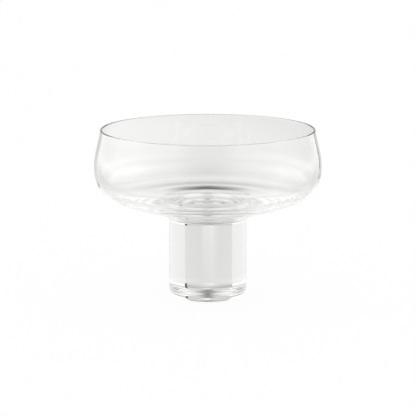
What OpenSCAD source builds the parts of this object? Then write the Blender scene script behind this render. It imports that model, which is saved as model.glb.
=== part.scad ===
// Champagne coupe: a wide, shallow bowl of clear glass, in one piece with a thick solid round stem
// that is also its foot. Millimetres. The glass stands on Z = 0, and its axis is the Z axis.

/* [Bowl] */
// Diameter across the widest part of the bowl
bowl_diameter = 119; // [100:1:140]
// Outside diameter at the rim
rim_diameter = 112.2; // [90:0.2:118]
// Height of the bowl outside, from the top of the stem to the rim
bowl_height = 45.8; // [40:0.1:70]
// Height of the widest part above the top of the stem
belly_height = 26.2; // [20:0.1:36]
// Slope of the underside where it leaves the stem, in degrees
underside_slope = 19; // [10:1:25]
// Thickness of the side wall and of the rim
wall = 1; // [0.8:0.1:2.2]

/* [Inside floor] */
// Height of the lowest ring of the floor inside above the top of the stem
floor_thickness = 8.8; // [6:0.1:12]
// Diameter of the lowest ring, which goes round the low dome in the middle
floor_diameter = 51; // [40:0.2:60]
// Height of the low dome above that ring
dome_height = 1; // [0.5:0.1:6]

/* [Stem] */
// Diameter of the solid stem
stem_diameter = 40.8; // [30:0.2:56]
// Height of the stem, from the table to the underside of the bowl
stem_height = 43.2; // [20:0.1:80]
// Radius of the rounded edge at the foot
foot_rounding = 5.1; // [1:0.1:8]
// Radius of the hollow corner between the stem and the underside
neck_fillet = 3.5; // [0.5:0.1:6]

/* [Hidden] */

// Radii and heights of the main points of the section
bowl_r = bowl_diameter / 2;
rim_r = rim_diameter / 2;
stem_r = stem_diameter / 2;
floor_r = floor_diameter / 2;
rim_z = stem_height + bowl_height;
belly_z = stem_height + belly_height;
floor_z = stem_height + floor_thickness;
dome_z = floor_z + dome_height;

// The rim is a full round as thick as the wall
lip_r = wall / 2;
lip_z = rim_z - lip_r;

// Shares of each stretch that the handles of its curve take up
underside_reach = 0.58;
belly_drop = 0.71;
belly_lift = 0.33;
rim_drop = 0.38;
rim_flare = 0.34;
floor_reach = 0.55;
dome_reach = 0.6;
ring_reach = 0.15;

// Steps along each kind of curve, and around the axis
curve_steps = 9;
foot_step = 18;
neck_step = 18;
lip_step = 45;
around = 96;

// Centre of the hollow corner, which touches both the stem and the underside
neck_x = stem_r + neck_fillet;
neck_z = stem_height - neck_fillet * (1 - sin(underside_slope)) / cos(underside_slope);

// Point on a cubic curve with the end points a and d and the handles b and c
function curve_point(a, b, c, d, t) =
    pow(1 - t, 3) * a + 3 * pow(1 - t, 2) * t * b + 3 * (1 - t) * t * t * c + pow(t, 3) * d;

// Points along a cubic curve, without its first one
function curve(a, b, c, d) =
    [for (i = [1:curve_steps]) curve_point(a, b, c, d, i / curve_steps)];

// Points along an arc with its centre at x, z
function arc(x, z, radius, from, to, step) =
    [for (i = [0:round(abs(to - from) / step)])
        let (turn = from + (to - from) * i / round(abs(to - from) / step))
        [x + radius * cos(turn), z + radius * sin(turn)]];

// Upper side of the bowl from its widest point to the rim, with the wall's thickness taken off
function side(inset) =
    let (rise = lip_z - belly_z, belly = bowl_r - inset, rim = rim_r - inset)
    curve([belly, belly_z], [belly, belly_z + belly_lift * rise],
        [rim + rim_flare * (belly - rim), lip_z - rim_drop * rise], [rim, lip_z]);

// Underside of the bowl from the hollow corner out to the widest point
function underside() =
    let (start = [neck_x - neck_fillet * sin(underside_slope), neck_z + neck_fillet * cos(underside_slope)],
        reach = underside_reach * (bowl_r - start.x))
    curve(start, start + reach * [1, tan(underside_slope)],
        [bowl_r, belly_z - belly_drop * (belly_z - stem_height)], [bowl_r, belly_z]);

// Inside of the bowl from the lowest ring out to the widest point
function inside() =
    let (ring = [floor_r, floor_z], end = [bowl_r - wall, belly_z])
    curve(ring, ring + [floor_reach * (end.x - ring.x), 0],
        [end.x, belly_z - belly_drop * (belly_z - stem_height) + wall], end);

// Low dome of the floor inside, from its top out to the lowest ring
function dome() =
    curve([0, dome_z], [dome_reach * floor_r, dome_z],
        [(1 - ring_reach) * floor_r, floor_z], [floor_r, floor_z]);

// Points in the opposite order
function backwards(points) = [for (i = [len(points) - 1:-1:0]) points[i]];

// Half of the section through the glass, anticlockwise from the middle of the foot
section = concat(
    [[0, 0]],
    arc(stem_r - foot_rounding, foot_rounding, foot_rounding, -90, 0, foot_step),
    arc(neck_x, neck_z, neck_fillet, 180, 90 + underside_slope, neck_step),
    underside(),
    side(0),
    arc(rim_r - lip_r, lip_z, lip_r, lip_step, 180 - lip_step, lip_step),
    backwards(side(wall)),
    backwards(inside()),
    backwards(dome()),
    [[0, dome_z]]
);

module coupe() {
    color([0.86, 0.9, 0.9, 0.4])
        rotate_extrude($fn = around)
            polygon(section);
}

coupe();
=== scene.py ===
"""Champagne coupe: the glass as one fine turned mesh of clear glass, in a pale studio."""
import math

import bpy
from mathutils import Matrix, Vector


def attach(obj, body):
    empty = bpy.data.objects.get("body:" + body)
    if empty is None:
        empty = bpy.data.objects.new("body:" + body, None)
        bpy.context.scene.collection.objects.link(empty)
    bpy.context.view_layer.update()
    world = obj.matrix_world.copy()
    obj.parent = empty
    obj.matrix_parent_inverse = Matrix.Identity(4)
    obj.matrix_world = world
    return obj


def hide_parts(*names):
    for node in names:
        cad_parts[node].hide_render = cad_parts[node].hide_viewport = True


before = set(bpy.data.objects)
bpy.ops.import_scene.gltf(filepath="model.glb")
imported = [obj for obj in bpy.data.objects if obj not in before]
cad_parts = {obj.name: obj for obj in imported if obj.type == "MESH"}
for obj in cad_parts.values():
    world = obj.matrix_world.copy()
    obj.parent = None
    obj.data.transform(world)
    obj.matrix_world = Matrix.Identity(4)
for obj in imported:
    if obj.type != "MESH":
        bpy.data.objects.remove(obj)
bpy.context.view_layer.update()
scene = bpy.context.scene

# Sizes of the section in millimetres, the same as in the CAD source
BOWL_R = 59.5
RIM_R = 56.1
STEM_R = 20.4
STEM_H = 43.2
BOWL_H = 45.8
BELLY_H = 26.2
SLOPE = math.radians(19)
WALL = 1.0
FLOOR_R = 25.5
FLOOR_Z = STEM_H + 8.8
DOME_Z = FLOOR_Z + 1.0
FOOT_R = 5.1
NECK_R = 3.5
RIM_Z = STEM_H + BOWL_H
BELLY_Z = STEM_H + BELLY_H
LIP_R = WALL / 2
LIP_Z = RIM_Z - LIP_R
# Distance from a rounding to the ring that keeps the flat or straight stretch beside it true
EDGE = 0.2

# Shares of each stretch that the handles of its curve take up, the same as in the CAD source
UNDERSIDE_REACH = 0.58
BELLY_DROP = 0.71
BELLY_LIFT = 0.33
RIM_DROP = 0.38
RIM_FLARE = 0.34
FLOOR_REACH = 0.55
DOME_REACH = 0.6
RING_REACH = 0.15

# Steps along a curve, along each rounding and around the axis, and the angle of a sharp edge
CURVE_STEPS = 44
FOOT_STEPS = 20
NECK_STEPS = 14
LIP_STEPS = 10
AROUND = 256
SHARP = math.radians(18)

# The studio as the glass sees it, with 1 as white and angles in degrees. Each card stands at its angle from
# straight behind the glass, on both sides alike, and fades into the next one. Its light is given by height,
# from straight down to straight up. The first three cards have a strip of light about level with the glass
# and a second one about 30 degrees up.
CARDS = (
    (26, ((-90, 0.7), (-28, 0.75), (-9, 0.85), (-2, 1.15), (5, 0.65),
          (12, 0.75), (20, 1.5), (35, 1.3), (90, 0.4))),
    (50, ((-90, 0.7), (-28, 0.75), (-16, 0.88), (-9, 0.9), (-2, 1.2), (5, 0.7),
          (12, 0.6), (20, 1.45), (35, 1.4), (90, 0.4))),
    (100, ((-90, 0.7), (-28, 0.65), (-16, 1.05), (-9, 1.4), (-2, 1.7), (5, 1.6),
           (12, 0.75), (20, 0.9), (35, 1.5), (90, 0.7))),
    (145, ((-90, 0.7), (-28, 0.85), (-16, 0.9), (-9, 0.65), (-2, 0.7), (5, 1.2),
           (12, 1.0), (20, 0.45), (35, 0.75), (90, 0.6))),
    (165, ((-90, 0.8), (-28, 0.8), (-9, 0.5), (12, 0.5), (35, 0.35), (90, 0.2))),
)
# Faint warm tint of all that light
CARD_TINT = (1.003, 1.0, 0.992)

# A grey screen with sharp edges stands straight behind the glass, with its light by height as well
SCREEN_SIDES = (-29.1, 25.4)
SCREEN_FADE = 0.2
SCREEN = ((-90, 1.1), (-27, 0.8), (-19, 0.93), (-13, 0.74), (-7, 0.7), (-4, 0.62), (-1, 0.42),
          (2, 0.55), (5, 0.38), (8, 0.7), (20, 0.65), (28, 0.33))

# Soft patches on the screen: middle to the right and half width, height and half height, change of light.
# The first, low down straight behind the glass, is painted shadow: the shadow of the glass on the table
# behind it, as the glass sees that table
PATCHES = (
    # Painted shadow of the glass on the table behind it, seen through the glass
    (0, 9, -35.5, 5.5, -1.15),
    (0, 20, -27, 4, -0.1),
    (-3.5, 8, -8.5, 5.5, 0.24),
    (3.4, 4, -10, 3, 0.17),
    (-3.4, 2.8, -10.5, 1.3, 0.12),
    (1, 20, -1, 6, 0.27),
    (0, 9, 9.5, 4.5, 0.5),
    (-4, 3.5, 12, 5, -0.4),
    (0, 10, 20, 8, -0.6),
)

# A small dark clamp holds the screen at its right edge
CLAMP_SIDES = (23.2, 25.5)
CLAMP_SIDE_FADE = 0.4
CLAMP_ENDS = (-9.0, 15.0)
CLAMP_END_FADE = 0.6

# White table: half its width in metres, its paint, and how much of what the camera sees there is plain white
TABLE_HALF = 3.0
TABLE_PAINT = 0.97
TABLE_WHITE = 0.95

# Camera: distance and height of its target in metres, angle above the level, lens in millimetres, and shift
CAMERA_DISTANCE = 1.0
CAMERA_TARGET = 0.0496
CAMERA_LIFT = math.radians(10.65)
CAMERA_LENS = 164.79
CAMERA_SHIFT = (0.0005, -0.0122)

# Light passes through many sides of the glass before it reaches the studio
BOUNCES = 80


def curve(a, b, c, d):
    """Points along a cubic curve, without its first one."""
    points = []
    for i in range(1, CURVE_STEPS + 1):
        t = i / CURVE_STEPS
        u = 1 - t
        points.append(tuple(u ** 3 * a[k] + 3 * u * u * t * b[k] + 3 * u * t * t * c[k] + t ** 3 * d[k]
                            for k in (0, 1)))
    return points


def arc(x, z, radius, start, end, steps):
    """Points along an arc with its centre at x, z, with angles in degrees."""
    turns = [math.radians(start + (end - start) * i / steps) for i in range(steps + 1)]
    return [(x + radius * math.cos(t), z + radius * math.sin(t)) for t in turns]


def side(inset):
    """Upper side of the bowl from its widest point to the rim, with the wall's thickness taken off."""
    rise = LIP_Z - BELLY_Z
    belly = BOWL_R - inset
    rim = RIM_R - inset
    return curve((belly, BELLY_Z), (belly, BELLY_Z + BELLY_LIFT * rise),
                 (rim + RIM_FLARE * (belly - rim), LIP_Z - RIM_DROP * rise), (rim, LIP_Z))


def underside(start):
    """Underside of the bowl from the hollow corner out to the widest point."""
    reach = UNDERSIDE_REACH * (BOWL_R - start[0])
    return curve(start, (start[0] + reach, start[1] + reach * math.tan(SLOPE)),
                 (BOWL_R, BELLY_Z - BELLY_DROP * BELLY_H), (BOWL_R, BELLY_Z))


def inside():
    """Inside of the bowl from the lowest ring out to the widest point."""
    wide = BOWL_R - WALL
    return curve((FLOOR_R, FLOOR_Z), (FLOOR_R + FLOOR_REACH * (wide - FLOOR_R), FLOOR_Z),
                 (wide, BELLY_Z - BELLY_DROP * BELLY_H + WALL), (wide, BELLY_Z))


def dome():
    """Low dome of the floor inside, from its top out to the lowest ring."""
    return curve((0, DOME_Z), (DOME_REACH * FLOOR_R, DOME_Z), ((1 - RING_REACH) * FLOOR_R, FLOOR_Z),
                 (FLOOR_R, FLOOR_Z))


def section():
    """Half of the section through the glass, from the middle of the foot round to the inside."""
    neck_x = STEM_R + NECK_R
    neck_z = STEM_H - NECK_R * (1 - math.sin(SLOPE)) / math.cos(SLOPE)
    neck_end = (neck_x - NECK_R * math.sin(SLOPE), neck_z + NECK_R * math.cos(SLOPE))
    points = [(0, 0), (STEM_R - FOOT_R - EDGE, 0)]
    points += arc(STEM_R - FOOT_R, FOOT_R, FOOT_R, -90, 0, FOOT_STEPS)
    points += [(STEM_R, FOOT_R + EDGE), (STEM_R, neck_z - EDGE)]
    points += arc(neck_x, neck_z, NECK_R, 180, 90 + math.degrees(SLOPE), NECK_STEPS)
    points += underside(neck_end) + side(0)
    points += arc(RIM_R - LIP_R, LIP_Z, LIP_R, 15, 165, LIP_STEPS)
    points += side(WALL)[::-1] + inside()[::-1] + dome()[::-1] + [(0, DOME_Z)]
    return points


def turned(name, points):
    """One closed mesh, turned about Z from a section in millimetres."""
    verts = []
    rings = []
    for x, z in points:
        if x == 0:
            rings.append([len(verts)])
            verts.append((0, 0, z / 1000))
            continue
        first = len(verts)
        for k in range(AROUND):
            turn = 2 * math.pi * k / AROUND
            verts.append((x * math.cos(turn) / 1000, x * math.sin(turn) / 1000, z / 1000))
        rings.append(list(range(first, first + AROUND)))
    faces = []
    for low, high in zip(rings, rings[1:]):
        for k in range(AROUND):
            j = (k + 1) % AROUND
            if len(low) == 1:
                faces.append((low[0], high[j], high[k]))
            elif len(high) == 1:
                faces.append((low[k], low[j], high[0]))
            else:
                faces.append((low[k], low[j], high[j], high[k]))
    mesh = bpy.data.meshes.new(name)
    mesh.from_pydata(verts, [], faces)
    mesh.polygons.foreach_set("use_smooth", [True] * len(mesh.polygons))
    mesh.set_sharp_from_angle(angle=SHARP)
    mesh.update()
    piece = bpy.data.objects.new(name, mesh)
    scene.collection.objects.link(piece)
    return piece


class Nodes:
    """Small helper that adds and joins shader nodes in one tree."""

    def __init__(self, tree):
        self.tree = tree

    def add(self, kind, links=(), **settings):
        node = self.tree.nodes.new(kind)
        for key, value in settings.items():
            setattr(node, key, value)
        for socket, value in dict(links).items():
            if isinstance(value, bpy.types.NodeSocket):
                self.tree.links.new(value, node.inputs[socket])
            else:
                node.inputs[socket].default_value = value
        return node

    def math(self, operation, *values):
        return self.add("ShaderNodeMath", enumerate(values), operation=operation).outputs[0]

    def ramp(self, scale, stops):
        """Levels between stops in degrees. A scale is a value from 0 to 1 and the degrees at both ends."""
        value, low, high = scale
        node = self.add("ShaderNodeValToRGB", {0: value})
        elements = node.color_ramp.elements
        while len(elements) < len(stops):
            elements.new(0.5)
        for element, (degrees, level) in zip(elements, stops):
            element.position = (degrees - low) / (high - low)
            element.color = (level, level, level, 1)
        return node.outputs[0]

    def band(self, scale, ends, fade):
        """One between two ends, with a short fade to nothing outside them."""
        return self.ramp(scale, ((ends[0] - fade, 0), (ends[0], 1), (ends[1], 1), (ends[1] + fade, 0)))

    def peak(self, scale, middle, half):
        """One in the middle, falling evenly to nothing at half a width on each side."""
        return self.ramp(scale, ((middle - half, 0), (middle, 1), (middle + half, 0)))


def glass():
    """Clear glass with the faint waves of a hand-finished piece."""
    material = bpy.data.materials.new("clear_glass")
    material.use_nodes = True
    nodes = Nodes(material.node_tree)
    shader = material.node_tree.nodes["Principled BSDF"]
    shader.inputs["Base Color"].default_value = (1, 1, 1, 1)
    shader.inputs["Roughness"].default_value = 0.0
    shader.inputs["IOR"].default_value = 1.52
    shader.inputs["Transmission Weight"].default_value = 1.0
    place = nodes.add("ShaderNodeTexCoord").outputs["Object"]
    waves = nodes.add("ShaderNodeTexNoise", {"Vector": place, "Scale": 55.0, "Detail": 1.0})
    bump = nodes.add("ShaderNodeBump", {"Height": waves.outputs[0], "Strength": 0.15, "Distance": 0.0004})
    material.node_tree.links.new(bump.outputs[0], shader.inputs["Normal"])
    return material


def card_light(nodes, away, height):
    """Light of the ring of cards, by the angle away from straight behind the glass and by height."""
    sides = [place for place, profile in CARDS]
    total = 0.0
    for index, (place, profile) in enumerate(CARDS):
        nearby = range(max(index - 1, 0), min(index + 2, len(CARDS)))
        share = nodes.ramp(away, [(sides[i], int(i == index)) for i in nearby])
        total = nodes.math("MULTIPLY_ADD", share, nodes.ramp(height, profile), total)
    return total


def screen_light(nodes, turn, height):
    """Light of the screen with its soft patches, one of them painted shadow of the glass on the table, by
    the angle to the right and by height.
    """
    total = nodes.ramp(height, SCREEN)
    for middle, half_width, lift, half_height, change in PATCHES:
        across = nodes.peak(turn, middle, half_width)
        upright = nodes.peak(height, lift, half_height)
        total = nodes.math("MULTIPLY_ADD", nodes.math("MULTIPLY", across, upright), change, total)
    return nodes.math("MAXIMUM", total, 0.0)


def studio():
    """Pale studio: white to the camera, and to the glass a ring of cards round it and a screen behind it."""
    world = bpy.data.worlds.new("studio")
    scene.world = world
    world.use_nodes = True
    nodes = Nodes(world.node_tree)
    back = world.node_tree.nodes["Background"]
    output = world.node_tree.nodes["World Output"]
    way = nodes.add("ShaderNodeSeparateXYZ", {0: nodes.add("ShaderNodeTexCoord").outputs["Generated"]})
    angle = nodes.math("ARCTAN2", way.outputs["X"], way.outputs["Y"])
    rise = nodes.math("ARCSINE", way.outputs["Z"])
    away = (nodes.math("DIVIDE", nodes.math("ABSOLUTE", angle), math.pi), 0, 180)
    turn = (nodes.math("MULTIPLY_ADD", angle, 0.5 / math.pi, 0.5), -180, 180)
    height = (nodes.math("MULTIPLY_ADD", rise, 1 / math.pi, 0.5), -90, 90)
    cards = card_light(nodes, away, height)
    screen = screen_light(nodes, turn, height)
    behind = nodes.band(turn, SCREEN_SIDES, SCREEN_FADE)
    light = nodes.add("ShaderNodeMix", {0: behind, 2: cards, 3: screen}).outputs[0]
    clamp = nodes.math("MULTIPLY", nodes.band(turn, CLAMP_SIDES, CLAMP_SIDE_FADE),
                       nodes.band(height, CLAMP_ENDS, CLAMP_END_FADE))
    light = nodes.math("MULTIPLY", light, nodes.math("SUBTRACT", 1.0, clamp))
    tinted = {channel: nodes.math("MULTIPLY", light, tint)
              for channel, tint in zip(("Red", "Green", "Blue"), CARD_TINT)}
    colour = nodes.add("ShaderNodeCombineColor", tinted)
    world.node_tree.links.new(colour.outputs[0], back.inputs["Color"])
    white = nodes.add("ShaderNodeBackground", {"Color": (1, 1, 1, 1), "Strength": 1.0})
    path = nodes.add("ShaderNodeLightPath")
    plain = nodes.math("MAXIMUM", path.outputs["Is Camera Ray"], path.outputs["Is Diffuse Ray"])
    mix = nodes.add("ShaderNodeMixShader", {0: plain, 1: back.outputs[0], 2: white.outputs[0]})
    world.node_tree.links.new(mix.outputs[0], output.inputs["Surface"])


def table():
    """White table that keeps a faint shadow, and that is clear to the glass, which sees the studio there."""
    mesh = bpy.data.meshes.new("table")
    corners = [(x * TABLE_HALF, y * TABLE_HALF, 0) for x, y in ((-1, -1), (1, -1), (1, 1), (-1, 1))]
    mesh.from_pydata(corners, [], [(0, 1, 2, 3)])
    piece = bpy.data.objects.new("table", mesh)
    scene.collection.objects.link(piece)
    material = bpy.data.materials.new("white_table")
    material.use_nodes = True
    nodes = Nodes(material.node_tree)
    paint = material.node_tree.nodes["Principled BSDF"]
    paint.inputs["Base Color"].default_value = (TABLE_PAINT, TABLE_PAINT, TABLE_PAINT, 1)
    paint.inputs["Roughness"].default_value = 0.7
    output = material.node_tree.nodes["Material Output"]
    path = nodes.add("ShaderNodeLightPath")
    white = nodes.add("ShaderNodeEmission", {"Color": (1, 1, 1, 1), "Strength": 1.0})
    seen = nodes.add("ShaderNodeMixShader", {0: TABLE_WHITE, 1: paint.outputs[0], 2: white.outputs[0]})
    camera_side = nodes.add("ShaderNodeMixShader", {0: path.outputs["Is Camera Ray"], 1: paint.outputs[0],
                                                    2: seen.outputs[0]})
    clear = nodes.add("ShaderNodeBsdfTransparent")
    through = nodes.math("MAXIMUM", path.outputs["Is Transmission Ray"], path.outputs["Is Glossy Ray"])
    mix = nodes.add("ShaderNodeMixShader", {0: through, 1: camera_side.outputs[0], 2: clear.outputs[0]})
    material.node_tree.links.new(mix.outputs[0], output.inputs["Surface"])
    mesh.materials.append(material)


def camera():
    """Long lens about a metre away, a little above the rim, as in the photograph."""
    data = bpy.data.cameras.new("camera")
    piece = bpy.data.objects.new("camera", data)
    back_up = Vector((0, -math.cos(CAMERA_LIFT), math.sin(CAMERA_LIFT)))
    piece.location = Vector((0, 0, CAMERA_TARGET)) + CAMERA_DISTANCE * back_up
    piece.rotation_euler = (math.radians(90) - CAMERA_LIFT, 0, 0)
    data.sensor_width = 36
    data.lens = CAMERA_LENS
    data.shift_x, data.shift_y = CAMERA_SHIFT
    data.clip_start = 0.01
    scene.collection.objects.link(piece)
    scene.camera = piece


camera()
studio()
table()

coupe = turned("coupe_glass", section())
coupe.data.materials.append(glass())
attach(coupe, "root")
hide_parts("coupe")

scene.view_settings.view_transform = "Standard"
scene.cycles.max_bounces = BOUNCES
scene.cycles.transmission_bounces = BOUNCES
scene.cycles.glossy_bounces = BOUNCES
scene.cycles.transparent_max_bounces = BOUNCES
